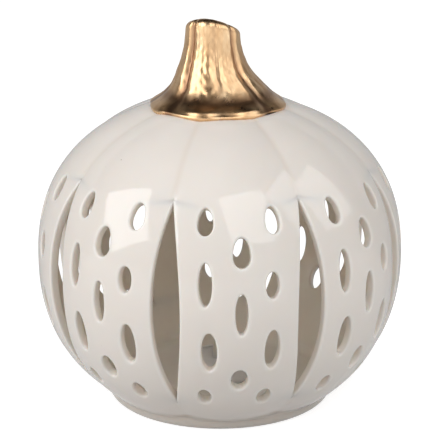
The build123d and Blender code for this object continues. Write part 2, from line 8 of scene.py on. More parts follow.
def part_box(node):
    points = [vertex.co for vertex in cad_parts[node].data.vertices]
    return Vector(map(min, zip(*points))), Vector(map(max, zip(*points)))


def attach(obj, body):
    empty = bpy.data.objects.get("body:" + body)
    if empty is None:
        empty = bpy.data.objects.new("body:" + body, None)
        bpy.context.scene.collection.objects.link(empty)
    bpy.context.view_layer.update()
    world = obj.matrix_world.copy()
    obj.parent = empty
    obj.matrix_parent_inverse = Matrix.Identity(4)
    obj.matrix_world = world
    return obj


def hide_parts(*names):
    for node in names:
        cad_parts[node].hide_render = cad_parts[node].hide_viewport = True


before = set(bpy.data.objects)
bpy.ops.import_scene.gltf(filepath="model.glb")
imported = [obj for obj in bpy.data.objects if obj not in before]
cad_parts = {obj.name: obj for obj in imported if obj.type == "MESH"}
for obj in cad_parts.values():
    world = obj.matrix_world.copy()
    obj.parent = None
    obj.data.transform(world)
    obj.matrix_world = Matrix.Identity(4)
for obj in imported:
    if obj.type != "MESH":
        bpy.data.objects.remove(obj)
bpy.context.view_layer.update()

MM = 0.001

# ------------------------------------------------------------------ sizes of the ceramic, in mm
LOBES = 8
LOBE_ANGLE = 2 * math.pi / LOBES
LOBE_SHIFT = 18.0  # each lobe turns about its own axis, this far from the centre
WALL = 4.2
FOOT_TOP = (55.5, 6.0)
CREST = ((75.3, 27.8), (82.3, 45.1), (85.0, 71.0), (80.6, 97.0), (71.0, 114.3), (50.4, 131.6))
CROWN = (33.0, 139.4)
CREST_ENDS = ((1.0, 0.75), (-1.0, 0.40))
CREST_SAMPLES = 1200
CROWN_EASE = 37.0  # inside this radius the skin curves level under the stem
VALLEY_SOFTNESS = 1.0  # how wide the glaze fills the crease between two lobes
SKIN = 0.02  # the glaze stays this far inside the frame's shell
CROWN_OPENING = 20.0
# Rings below the skin: round the foot, under the floor, up through the port and back over the
# floor. Each is radius, height, share of the lobes it keeps, and how far it counts as inside.
FOOT_ROWS = (
    (55.0, 5.55, 0.9, 0), (54.4, 5.2, 0.6, 0), (53.9, 4.9, 0.3, 0), (53.5, 4.5, 0.1, 0),
    (53.3, 4.0, 0, 0), (53.1, 3.2, 0, 0), (52.8, 2.2, 0, 0), (52.2, 1.2, 0, 0),
    (51.5, 0.5, 0, 0), (50.7, 0.1, 0, 0), (49.8, 0.0, 0, 0.6), (47.8, 0.0, 0, 0.6),
    (45.8, 0.0, 0, 0.6), (45.2, 0.2, 0, 0.6), (44.7, 0.9, 0, 0.6), (44.3, 2.2, 0, 0.6),
    (43.6, 2.8, 0, 0.6), (36.0, 2.8, 0, 0.6), (26.0, 2.8, 0, 0.6), (18.0, 2.8, 0, 0.6),
    (17.2, 3.0, 0, 0.6), (17.0, 3.5, 0, 0.8), (17.0, 5.3, 0, 1), (17.2, 5.8, 0, 1),
    (18.0, 6.0, 0, 1), (26.0, 6.0, 0, 1), (36.0, 6.0, 0, 1), (45.0, 6.0, 0, 1),
    (48.6, 6.2, 0, 1), (50.4, 6.8, 0, 1), (51.7, 7.9, 0.6, 1),
)
# The same above the skin: over the crown, down its opening and back under it.
CROWN_ROWS = (
    (30.0, 139.4, 0.8, 0), (26.0, 139.4, 0.3, 0), (22.0, 139.4, 0, 0), (20.3, 139.3, 0, 0),
    (20.0, 138.8, 0, 0.5), (20.0, 136.2, 0, 1), (20.4, 135.6, 0, 1), (22.0, 135.4, 0, 1),
    (28.0, 135.4, 0.4, 1),
)

SLOT_BOTTOM, SLOT_TOP, SLOT_HALF_WIDTH = 20.2, 112.1, 6.6
# Ovals of one lobe: height, angle from the lobe's middle, width and length.
OVALS = (
    (106.2, -10.8, 6.9, 12.2),
    (106.2, 11.2, 6.5, 12.1),
    (93.8, 0.6, 7.8, 13.3),
    (80.2, -10.4, 6.0, 19.3),
    (79.3, 9.7, 6.3, 11.8),
    (66.9, 0.4, 5.6, 18.8),
    (48.9, -9.3, 6.9, 19.4),
    (49.3, 10.0, 6.9, 19.4),
    (34.5, 0.2, 7.3, 11.8),
    (24.4, -11.4, 5.8, 10.2),
    (23.8, 9.4, 6.2, 10.4),
)
# How many degrees each lobe's ovals, and the slot after that lobe, are off their true place.
OVAL_TURNS = np.radians((0.0, 0.0, 0.0, -1.5, -3.0, 0.0, 0.0, 0.0))
SLOT_TURNS = np.radians((0.0, 0.0, 0.0, -2.1, 2.0, 0.0, 0.0, 0.0))
EGG_ABOVE, EGG_SHIFT = 90.0, 0.14  # ovals above this height are wider at the foot

RIM_ROUND = 0.9  # radius of the glazed edge of every opening
RIM_STEPS = 4
HIGHLIGHT_WIDTH = 1.2  # of the painted highlight, a paler band round an opening
CREASE_WIDTH = 1.5  # of the warmer line where it pools between two lobes
SHADE_BELOW = 0.026  # metres; painted shade makes the glaze darker and browner under this height
SHEET_COLUMNS = 64 * LOBES
SHEET_ROWS = 176
STEP_ALONG, STEP_AROUND = 0.05, 0.0006  # mm and radians, to find the skin's direction
RIM_TRIES, RIM_GAIN = 6, 0.9  # rounds that move a point to the rim, and share of the gap in each


# ------------------------------------------------------------------ mesh helpers
def smooth_curve(points, start, end, samples):
    """Dense points of a twice-smooth curve through points, with the directions of its ends."""
    points = np.array(points, float)
    chord = np.r_[0, np.cumsum(np.hypot(*np.diff(points, axis=0).T))]
    step = np.diff(chord)
    count = len(points)
    system = np.zeros((count, count))
    right = np.zeros((count, 2))
    system[0, 0] = system[-1, -1] = 1
    right[0] = np.array(start) / np.hypot(*start)
    right[-1] = np.array(end) / np.hypot(*end)
    for i in range(1, count - 1):
        before, after = step[i - 1], step[i]
        system[i, i - 1], system[i, i], system[i, i + 1] = after, 2 * (before + after), before
        rise = after * (points[i] - points[i - 1]) / before
        rise += before * (points[i + 1] - points[i]) / after
        right[i] = 3 * rise
    slope = np.linalg.solve(system, right)
    place = np.linspace(0, chord[-1], samples)
    span = np.clip(np.searchsorted(chord, place, side="right") - 1, 0, count - 2)
    width = step[span][:, None]
    t = ((place - chord[span]) / step[span])[:, None]
    return (
        (1 + 2 * t) * (1 - t) ** 2 * points[span]
        + t * (1 - t) ** 2 * width * slope[span]
        + t**2 * (3 - 2 * t) * points[span + 1]
        + t**2 * (t - 1) * width * slope[span + 1]
    )


def mesh_object(name, vertices_mm, faces):
    """A smooth-shaded mesh object from vertices in millimetres."""
    mesh = bpy.data.meshes.new(name)
    places = [tuple(v) for v in np.asarray(vertices_mm) * MM]
    mesh.from_pydata(places, [], [tuple(f) for f in faces])
    mesh.validate()
    mesh.shade_smooth()
    made = bpy.data.objects.new(name, mesh)
    bpy.context.scene.collection.objects.link(made)
    return made


def point_attribute(made, name, values):
    """Stores one number per vertex, for the material to read."""
    layer = made.data.attributes.new(name, "FLOAT", "POINT")
    layer.data.foreach_set("value", np.asarray(values, np.float32))


# ------------------------------------------------------------------ the glazed body
def crest_curve():
    """Points of a lobe's crest, from the foot to the crown, which curves level under the stem."""
    points = smooth_curve((FOOT_TOP, *CREST, CROWN), *CREST_ENDS, CREST_SAMPLES)
    eased = points[:, 0] < CROWN_EASE
    start = np.argmax(eased)
    turn_in = points[start].copy()
    slope_in = turn_in - points[start - 1]
    corner = turn_in + slope_in * (CROWN[1] - turn_in[1]) / slope_in[1]
    last = np.array((2 * corner[0] - turn_in[0], CROWN[1]))
    share = np.linspace(0, 1, int(eased.sum()))[:, None]
    points[eased] = (1 - share) ** 2 * turn_in + 2 * share * (1 - share) * corner + share**2 * last
    return points


crest = crest_curve()
crest_run = np.r_[0, np.cumsum(np.hypot(*np.diff(crest, axis=0).T))]
CREST_LENGTH = crest_run[-1]


def fold(turn):
    """Angle from the middle of the nearest lobe; the front lobe's middle is at turn 0."""
    return (turn + LOBE_ANGLE / 2) % LOBE_ANGLE - LOBE_ANGLE / 2


def lobe_number(turn):
    """Number of the lobe that a turn falls in, from the front one."""
    return np.floor(turn / LOBE_ANGLE + 0.5).astype(int) % LOBES


def lobed_radius(radius, turn):
    """Radius of the lobed outline whose crests are at radius, with softened valleys."""
    to_valley = (LOBE_ANGLE / 2 - np.abs(fold(turn))) * radius
    softened = np.sqrt(to_valley**2 + VALLEY_SOFTNESS**2) / radius
    angle = LOBE_ANGLE / 2 - softened
    lobe_radius = radius - LOBE_SHIFT
    return LOBE_SHIFT * np.cos(angle) + np.sqrt(lobe_radius**2 - (LOBE_SHIFT * np.sin(angle)) ** 2)


def skin_point(turn, run):
    """Point of the outer skin: turn about the axis, run along the crest from the foot."""
    radius = np.interp(run, crest_run, crest[:, 0]) - SKIN
    height = np.interp(run, crest_run, crest[:, 1])
    reach = lobed_radius(radius, turn)
    return np.stack([reach * np.sin(turn), -reach * np.cos(turn), height], -1)


def skin_normal(turn, run):
    """Outward unit normal of the outer skin."""
    along = skin_point(turn, run + STEP_ALONG) - skin_point(turn, run - STEP_ALONG)
    around = skin_point(turn + STEP_AROUND, run) - skin_point(turn - STEP_AROUND, run)
    normal = np.cross(around, along)
    return normal / np.linalg.norm(normal, axis=-1, keepdims=True)


def run_at(height):
    """Run along the crest where it reaches a height."""
    return float(np.interp(height, crest[:, 1], crest_run))


def skin_height(turn, reach):
    """Height of the outer skin near the crown, at a distance from the axis."""
    high = crest[crest[:, 1] > CROWN[1] - 8.0][::-1]
    found = [
        np.interp(far, lobed_radius(high[:, 0], np.full(len(high), angle)), high[:, 1])
        for angle, far in zip(turn, reach)
    ]
    return np.array(found)


def rim_distance(turn, run):
    """Distance over the skin to the nearest opening's edge; negative inside an opening."""
    radius = np.interp(run, crest_run, crest[:, 0])
    height = np.interp(run, crest_run, crest[:, 1])
    lobe = lobe_number(turn)
    angle = fold(turn)
    before = SLOT_TURNS[lobe - 1] - LOBE_ANGLE / 2
    after = SLOT_TURNS[lobe] + LOBE_ANGLE / 2
    across = radius * np.sin(np.minimum(np.abs(angle - before), np.abs(after - angle)))
    half_height = (SLOT_TOP - SLOT_BOTTOM) / 2
    arc = (half_height**2 + SLOT_HALF_WIDTH**2) / (2 * SLOT_HALF_WIDTH)
    nearest = np.hypot(across + arc - SLOT_HALF_WIDTH, height - SLOT_BOTTOM - half_height) - arc
    for centre_height, centre_angle, width, length in OVALS:
        lower = EGG_SHIFT * length if centre_height > EGG_ABOVE else 0.0
        x = (angle - OVAL_TURNS[lobe] - math.radians(centre_angle)) * radius
        y = run - run_at(centre_height) + lower
        half = np.where(y > 0, length / 2 + lower, length / 2 - lower)
        level = np.hypot(x / (width / 2), y / half) + 1e-9
        steep = np.hypot(x / (width / 2) ** 2, y / half**2) / level + 1e-9
        nearest = np.minimum(nearest, (level - 1) / steep)
    return nearest


def rim_slope(turn, run):
    """Gradient of rim_distance, in mm of turn and mm of run."""
    radius = np.interp(run, crest_run, crest[:, 0])
    step = 0.02
    around = rim_distance(turn + step / radius, run) - rim_distance(turn - step / radius, run)
    along = rim_distance(turn, run + step) - rim_distance(turn, run - step)
    slope = np.stack([around, along], -1)
    return slope / (np.linalg.norm(slope, axis=-1, keepdims=True) + 1e-9)


def move_to_rim(turn, run, target, direction=None):
    """Moves places over the skin until their distance from the rim is target."""
    turn, run = turn.copy(), run.copy()
    for _ in range(RIM_TRIES):
        slope = rim_slope(turn, run) if direction is None else direction
        gap = (target - rim_distance(turn, run)) * RIM_GAIN
        radius = np.interp(run, crest_run, crest[:, 0])
        turn += gap * slope[:, 0] / radius
        run += gap * slope[:, 1]
    return turn, run


def profile_row(radius, height, lobed):
    """One ring of the foot, floor or crown; lobed says how much of the lobes it keeps."""
    turn = np.linspace(0, 2 * math.pi, SHEET_COLUMNS, endpoint=False)
    reach = np.full(SHEET_COLUMNS, float(radius))
    if lobed:
        reach -= lobed * (radius - lobed_radius(radius, turn))
    return np.stack([reach * np.sin(turn), -reach * np.cos(turn), np.full_like(turn, height)], -1)


def build_shell():
    """The pierced body: two skins joined by rounded rims, with the foot, floor and crown."""
    turn = np.tile(np.linspace(0, 2 * math.pi, SHEET_COLUMNS, endpoint=False), (SHEET_ROWS, 1))
    run = np.tile(np.linspace(0, CREST_LENGTH, SHEET_ROWS)[:, None], (1, SHEET_COLUMNS))
    level = rim_distance(turn, run) - RIM_ROUND

    # Grid points next to an opening move onto its rim.
    snapped = np.zeros(level.shape, bool)
    beside = np.roll(level, -1, axis=1)
    crossing = (level > 0) != (beside > 0)
    near = np.abs(level) <= np.abs(beside)
    snapped |= crossing & near
    snapped |= np.roll(crossing & ~near, 1, axis=1)
    crossing = (level[:-1] > 0) != (level[1:] > 0)
    near = np.abs(level[:-1]) <= np.abs(level[1:])
    snapped[:-1] |= crossing & near
    snapped[1:] |= crossing & ~near
    turn[snapped], run[snapped] = move_to_rim(turn[snapped], run[snapped], RIM_ROUND)
    kept = (level > 0) | snapped

    rows, columns = level.shape
    index = np.arange(rows * columns).reshape(rows, columns)
    right = np.roll(index, -1, 1)
    cells = np.stack([index[:-1], right[:-1], right[1:], index[1:]], -1).reshape(-1, 4)
    flat_kept, flat_snapped = kept.ravel(), snapped.ravel()
    flat_turn, flat_run = turn.ravel(), run.ravel()
    sheet = []
    for cell in cells:
        corners = [c for c in cell if flat_kept[c]]
        if len(corners) < 3:
            continue
        if all(flat_snapped[c] for c in corners):
            first = flat_turn[corners[0]]
            offsets = (flat_turn[corners] - first + math.pi) % (2 * math.pi) - math.pi
            middle_turn = first + np.mean(offsets)
            middle_run = np.mean([flat_run[c] for c in corners])
            if rim_distance(np.array(middle_turn), np.array(middle_run)) < RIM_ROUND:
                continue
        sheet.append(corners)

    # Boundary edges of the openings, in the direction of the face that keeps them.
    sides = dict.fromkeys(side for face in sheet for side in zip(face, face[1:] + face[:1]))
    ends = {int(i) for i in index[0]} | {int(i) for i in index[-1]}
    border = [(a, b) for a, b in sides if (b, a) not in sides and not (a in ends and b in ends)]
    rim = sorted({v for edge in border for v in edge})
    rim_place = {v: i for i, v in enumerate(rim)}

    used = sorted({v for face in sheet for v in face})
    place = {v: i for i, v in enumerate(used)}
    used = np.array(used)
    skin = skin_point(flat_turn[used], flat_run[used])
    normal = skin_normal(flat_turn[used], flat_run[used])
    count = len(used)
    vertices = [skin, skin - normal * WALL]
    inside = [np.zeros(count), np.ones(count)]
    from_rim = rim_distance(flat_turn[used], flat_run[used]) - RIM_ROUND
    # Painted highlight: a paler band on the outer skin next to each opening's rim.
    edge = [np.clip(1 - from_rim / HIGHLIGHT_WIDTH, 0, 1), np.zeros(count)]
    faces = [[place[v] for v in face] for face in sheet]
    faces += [[place[v] + count for v in reversed(face)] for face in sheet]

    # Rim rings from the outer skin, through the cut, to the inner skin.
    rim = np.array(rim)
    start_turn, start_run = flat_turn[rim], flat_run[rim]
    toward = rim_slope(start_turn, start_run)
    sweep = [k * math.pi / 2 / RIM_STEPS for k in range(1, RIM_STEPS + 1)]
    steps = [(RIM_ROUND * math.sin(a), RIM_ROUND * (1 - math.cos(a))) for a in sweep]
    steps += [(RIM_ROUND, WALL / 2)]
    steps += [(reach, WALL - depth) for reach, depth in reversed(steps[:RIM_STEPS])]
    rings = [[place[v] for v in rim]]
    total = 2 * count
    for reach, depth in steps:
        ring_turn, ring_run = move_to_rim(start_turn, start_run, RIM_ROUND - reach, toward)
        ring = skin_point(ring_turn, ring_run) - skin_normal(ring_turn, ring_run) * depth
        vertices.append(ring)
        inside.append(np.full(len(rim), depth / WALL))
        # The rounded rim carries the painted highlight too, fading through the cut.
        edge.append(np.full(len(rim), max(0.0, 1 - depth / RIM_ROUND)))
        rings.append(list(range(total, total + len(rim))))
        total += len(rim)
    rings.append([place[v] + count for v in rim])
    for upper, lower in zip(rings, rings[1:]):
        for a, b in border:
            i, j = rim_place[a], rim_place[b]
            faces.append([upper[j], upper[i], lower[i], lower[j]])

    # The outer skin's lowest and highest rings are joined to the inner skin's by rings of rows.
    def add_rows(rows, first, last, upward):
        nonlocal total
        previous = first
        for radius, height, lobed, depth in rows:
            vertices.append(profile_row(radius, height, lobed))
            inside.append(np.full(SHEET_COLUMNS, depth))
            edge.append(np.zeros(SHEET_COLUMNS))
            current = list(range(total, total + SHEET_COLUMNS))
            total += SHEET_COLUMNS
            bridge(previous, current, upward)
            previous = current
        bridge(previous, last, upward)

    def bridge(start, end, upward):
        for i in range(SHEET_COLUMNS):
            j = (i + 1) % SHEET_COLUMNS
            face = [start[j], start[i], end[i], end[j]]
            faces.append(face[::-1] if upward else face)

    low_outer = [place[int(v)] for v in index[0]]
    low_inner = [place[int(v)] + count for v in index[0]]
    add_rows(FOOT_ROWS, low_outer, low_inner, False)
    high_outer = [place[int(v)] for v in index[-1]]
    high_inner = [place[int(v)] + count for v in index[-1]]
    add_rows(CROWN_ROWS, high_outer, high_inner, True)

    vertices = np.concatenate(vertices)
    reach = np.hypot(vertices[:, 0], vertices[:, 1])
    to_valley = (LOBE_ANGLE / 2 - np.abs(fold(np.arctan2(vertices[:, 0], -vertices[:, 1])))) * reach
    made = mesh_object("pumpkin_glazed_body", vertices, faces)
    point_attribute(made, "inside", np.concatenate(inside))
    point_attribute(made, "edge", np.concatenate(edge))
    point_attribute(made, "crease", np.exp(-((to_valley / CREASE_WIDTH) ** 2)))
    return made


# ------------------------------------------------------------------ the gilded stem
STEM_RIDGES = 8
STEM_BASE = CROWN[1] + 0.05
# Height, sideways lean, ridge radius and groove depth.
STEM_SECTIONS = (
    (139.45, -1.0, 30.9, 0.2),
    (140.1, -1.0, 31.3, 0.3),
    (141.2, -1.0, 30.2, 0.4),
    (142.4, -0.9, 28.5, 0.6),
    (144.0, -0.8, 26.5, 0.9),
    (146.0, -0.8, 24.5, 1.2),
    (149.6, -1.3, 21.5, 1.6),
    (155.0, -2.6, 18.0, 2.0),
    (161.5, -3.1, 15.1, 1.9),
    (168.0, -3.2, 13.5, 1.7),
    (175.0, -3.2, 12.8, 1.5),
    (186.0, -3.2, 12.4, 1.3),
)
GROOVE_TURN = math.radians(-3.0)  # of the groove nearest the front
# How strongly each groove is cut, from that one round to the right.
GROOVE_CUTS = np.array((0.5, 1.0, 0.9, 1.15, 0.8, 1.0, 1.1, 1.1))
GROOVE_WIDTH = 0.14  # of the spacing of the grooves
RIDGE_FLATNESS = 0.55  # 0 round, 1 flat from groove to groove
LIP, LIP_HEIGHT, LIP_WIDTH = 2.5, 142.6, 1.6  # soft bulges of the skirt's edge, in front
FLARE = 0.5  # how far the foot of the stem reaches out over the valleys
# Where painted shade darkens the lustre to brown, in the skirt's hollow, and how much.
DARK_HEIGHT, DARK_WIDTH, DARK_SHARE = 145.6, 2.6, 0.9
STEM_TOP, STEM_TOP_RADIUS = Vector((-3.2, 0.0, 176.8)), 12.5
END_DROOP = 1.2  # how far the cut end falls away on its higher side
STEM_TOP_TILT = (math.radians(-14.0), math.radians(11.0))  # back, then to the right
STEM_END_ROUND = 3.2
STEM_COLUMNS, STEM_ROWS, STEM_END_ROWS = 288, 116, 12
DROP_ROWS = 12  # rows of the foot that bend down to the skin
STEM_SAMPLES = 2000
END_RINGS = (0.94, 0.87, 0.78, 0.68, 0.57, 0.45, 0.33, 0.21, 0.1, 0.02)  # of the cut end
END_DISH, END_SHADE = 0.5, 0.45  # depth of its middle, and how brown it is
STEM_HOLLOW_RADIUS, STEM_HOLLOW_MIDDLE, STEM_HOLLOW_TOP = 8.5, 154.0, 166.0


def waves(turn, height, seed, count, low, high, bend):
    """Sum of gentle waves round the stem, a little sheared with height; about -1 to 1."""
    chance = np.random.default_rng(seed)
    total = np.zeros_like(turn)
    for _ in range(count):
        number = chance.integers(low, high)
        phase = chance.uniform(0, 2 * math.pi)
        shear = chance.uniform(-bend, bend)
        total += np.cos(number * turn + phase + shear * height)
    return total / math.sqrt(count)


def build_stem():
    """The fluted stem with its flared skirt, wrinkles, slanting cut end and hollow foot."""
    sections = np.array(STEM_SECTIONS)
    slant = Matrix.Rotation(STEM_TOP_TILT[1], 3, "Y") @ Matrix.Rotation(STEM_TOP_TILT[0], 3, "X")
    up = slant @ Vector((0, 0, 1))
    turn = np.linspace(0, 2 * math.pi, STEM_COLUMNS, endpoint=False)
    rise = np.linspace(0, 1, STEM_ROWS - STEM_END_ROWS)
    fall = STEM_TOP_RADIUS * (up.x * np.sin(turn) - up.y * np.cos(turn)) / up.z
    end = STEM_TOP.z - fall - END_DROOP * np.clip(-np.sin(turn), 0, 1) ** 2
    curve = smooth_curve(sections[:, [2, 0]], (0.4, 1.0), (0.0, 1.0), STEM_SAMPLES)
    groove_of = smooth_curve(sections[:, [3, 0]], (0.1, 1.0), (0.0, 1.0), STEM_SAMPLES)
    lean_of = smooth_curve(sections[:, [1, 0]], (0.0, 1.0), (0.0, 1.0), STEM_SAMPLES)
    # Rows follow the skirt closely at the foot, and turn over at the slanting top.
    rise = (0.35 * rise + 0.65 * rise**1.7)[:, None]
    wall = STEM_BASE + (end[None, :] - STEM_END_ROUND - STEM_BASE) * rise
    rolled = np.sin(np.linspace(0, math.pi / 2, STEM_END_ROWS + 1)[1:])[:, None]
    height = np.concatenate([wall, end[None, :] - STEM_END_ROUND * (1 - rolled)])
    around = np.broadcast_to(turn, height.shape)
    radius = np.interp(height, curve[:, 1], curve[:, 0])
    groove = np.interp(height, groove_of[:, 1], groove_of[:, 0])
    lean = np.interp(height, lean_of[:, 1], lean_of[:, 0])
    up_stem = (height - STEM_BASE) / (STEM_TOP.z - STEM_BASE)

    spacing = 2 * math.pi / STEM_RIDGES
    wander = 0.05 * waves(around, height, 3, 4, 1, 4, 0.02) + 0.03 * up_stem
    phase = (around - GROOVE_TURN) / spacing + wander
    nearest = np.round(phase)
    off = phase - nearest
    cut = np.exp(-((off / GROOVE_WIDTH) ** 2)) * GROOVE_CUTS[nearest.astype(int) % STEM_RIDGES]
    flat = 1 - math.cos(spacing / 2) / np.cos((0.5 - np.abs(off)) * spacing)
    flat *= RIDGE_FLATNESS * np.clip(up_stem * 4, 0, 1)
    uneven = 0.28 * waves(around, height, 5, 4, 1, 5, 0.01)
    shape = uneven - groove * cut - radius * flat
    over = np.clip((end[None, :] - height) / STEM_END_ROUND, 0, 1)
    fine = np.clip(up_stem * 6 - 0.6, 0, 1) * over
    cut *= 0.5 + 0.5 * over
    wrinkle = 0.035 * waves(around, height, 7, 10, 20, 50, 0.05) * fine
    wrinkle += 0.015 * waves(around, height, 8, 8, 50, 90, 0.12) * fine
    knots = 0.07 * waves(around, 4 * height, 9, 8, 10, 34, 0.35) * fine
    low_down = 1 - np.clip(up_stem * 4, 0, 1)
    skirt = 0.2 * waves(around, height, 11, 4, 3, 10, 0.0) - FLARE * np.cos(LOBES * around)
    lip = LIP * np.exp(-(((height - LIP_HEIGHT) / LIP_WIDTH) ** 2))
    lip *= (0.7 - 0.3 * np.cos(LOBES * around)) * np.clip(np.cos(around), 0, 1) ** 1.5
    reach = radius + shape + wrinkle + knots + lip + skirt * low_down

    # The last few rows turn over into the cut end.
    reach -= STEM_END_ROUND * (1 - np.sqrt(1 - (1 - over) ** 2))
    points = np.stack([lean + reach * np.sin(around), -reach * np.cos(around), height], -1)
    rows = list(points)
    # Painted shade, kept in the groove attribute: darker in the grooves and in the skirt's hollow,
    # lighter where wrinkles bulge.
    band = DARK_SHARE * np.exp(-(((height - DARK_HEIGHT) / DARK_WIDTH) ** 2))
    shade = list(np.clip(np.maximum(cut, band) - 0.8 * wrinkle, 0, 1))

    # The edge of the foot drops to the skin where that dips between the lobes.
    foot = np.hypot(rows[0][:, 0], rows[0][:, 1])
    drop = STEM_BASE - skin_height(np.arctan2(rows[0][:, 0], -rows[0][:, 1]), foot)
    for i in range(DROP_ROWS):
        rows[i][:, 2] -= drop * (1 - i / DROP_ROWS)

    # Cut end: rings shrinking to its middle, slightly dished and rough.
    last = points[-1]
    for share in END_RINGS:
        ring = np.array(STEM_TOP) + (last - np.array(STEM_TOP)) * share
        ring[:, 2] += 0.12 * share * waves(turn, np.full_like(turn, share * 4), 13, 6, 2, 9, 0.5)
        ring[:, 2] -= END_DISH * (1 - share**2)
        rows.append(ring)
        shade.append(np.full(STEM_COLUMNS, END_SHADE))

    # Underside: the seat on the crown, then the hollow.
    seat = []
    for radius, height in (
        (CROWN_OPENING, STEM_BASE), (STEM_HOLLOW_RADIUS, STEM_HOLLOW_MIDDLE),
        (STEM_HOLLOW_RADIUS, STEM_HOLLOW_TOP - 1), (STEM_HOLLOW_RADIUS - 1.5, STEM_HOLLOW_TOP),
        (2.0, STEM_HOLLOW_TOP),
    ):
        level = np.full_like(turn, height)
        seat.append(np.stack([radius * np.sin(turn), -radius * np.cos(turn), level], -1))
    rows = seat[::-1] + rows
    # The seat and hollow underneath are painted in full shade.
    shade = [np.ones(STEM_COLUMNS)] * len(seat) + shade

    faces = []
    for i in range(len(rows) - 1):
        for j in range(STEM_COLUMNS):
            k = (j + 1) % STEM_COLUMNS
            faces.append([i * STEM_COLUMNS + j, i * STEM_COLUMNS + k,
                          (i + 1) * STEM_COLUMNS + k, (i + 1) * STEM_COLUMNS + j])
    faces.append(list(range(STEM_COLUMNS))[::-1])
    faces.append([(len(rows) - 1) * STEM_COLUMNS + j for j in range(STEM_COLUMNS)])
    made = mesh_object("gilded_stem", np.concatenate(rows), faces)
    point_attribute(made, "groove", np.concatenate(shade))
    return made


# ------------------------------------------------------------------ materials
class Nodes:
    """Short names for building the nodes of a material or of the world."""

    def __init__(self, owner, surface):
        self.owner = owner
        owner.use_nodes = True
        self.tree = owner.node_tree
        self.surface = self.tree.nodes[surface]

    def add(self, kind, **settings):
        node = self.tree.nodes.new(kind)
        for key, value in settings.items():
            if hasattr(node, key):
                setattr(node, key, value)
            else:
                node.inputs[key.replace("_", " ")].default_value = value
        return node

    def link(self, source, target):
        self.tree.links.new(source, target)

    def place(self):
        """The object's own coordinates, in metres."""
        return self.add("ShaderNodeTexCoord").outputs["Object"]

    def axes(self, source):
        """X, Y and Z of a vector."""
        split = self.add("ShaderNodeSeparateXYZ")
        self.link(source, split.inputs["Vector"])
        return split.outputs

    def noise(self, scale, detail=3.0, roughness=0.5, stretch=None):
        """Noise over the object's own metres, with scale in waves per metre."""
        texture = self.add("ShaderNodeTexNoise", Scale=scale, Detail=detail, Roughness=roughness)
        source = self.place()
        if stretch:
            mapping = self.add("ShaderNodeMapping", Scale=stretch)
            self.link(source, mapping.inputs["Vector"])
            source = mapping.outputs["Vector"]
        self.link(source, texture.inputs["Vector"])
        return texture.outputs["Fac"]

    def spread(self, source, low, high, at_low=0.0, at_high=1.0):
        """Goes from at_low to at_high while source goes from low to high."""
        node = self.add(
            "ShaderNodeMapRange", From_Min=low, From_Max=high, To_Min=at_low, To_Max=at_high
        )
        self.link(source, node.inputs["Value"])
        return node.outputs["Result"]

    def join(self, operation, first, second):
        """One number from two, such as their product."""
        node = self.add("ShaderNodeMath", operation=operation)
        self.link(first, node.inputs[0])
        if isinstance(second, float):
            node.inputs[1].default_value = second
        else:
            self.link(second, node.inputs[1])
        return node.outputs[0]

    def ramp(self, source, stops):
        """Colour ramp over source; stops are (place, grey or colour)."""
        node = self.add("ShaderNodeValToRGB")
        elements = node.color_ramp.elements
        while len(elements) < len(stops):
            elements.new(0.5)
        for element, (place, colour) in zip(elements, stops):
            element.position = place
            value = (colour,) * 3 if isinstance(colour, (int, float)) else colour
            element.color = (*value, 1.0)
        self.link(source, node.inputs["Fac"])
        return node.outputs["Color"]

    def mix(self, factor, first, second, blend="MIX"):
        node = self.add("ShaderNodeMix", data_type="RGBA", blend_type=blend)
        if isinstance(factor, (int, float)):
            node.inputs[0].default_value = factor
        else:
            self.link(factor, node.inputs[0])
        for slot, value in ((6, first), (7, second)):
            if isinstance(value, tuple):
                node.inputs[slot].default_value = (*value, 1.0)
            else:
                self.link(value, node.inputs[slot])
        return node.outputs[2]

    def bump(self, height, distance, strength=1.0, after=None):
        node = self.add("ShaderNodeBump", Distance=distance, Strength=strength)
        self.link(height, node.inputs["Height"])
        if after is not None:
            self.link(after, node.inputs["Normal"])
        return node.outputs["Normal"]

    def attribute(self, name):
        return self.add("ShaderNodeAttribute", attribute_name=name).outputs["Fac"]

    def set(self, **values):
        for key, value in values.items():
            target = self.surface.inputs[key.replace("_", " ")]
            if isinstance(value, bpy.types.NodeSocket):
                self.link(value, target)
            elif isinstance(value, tuple) and len(value) == 3 and target.type == "RGBA":
                target.default_value = (*value, 1.0)
            else:
                target.default_value = value
        return self.owner


def material_nodes(name):
    """Nodes of a new material."""
    return Nodes(bpy.data.materials.new(name), "Principled BSDF")


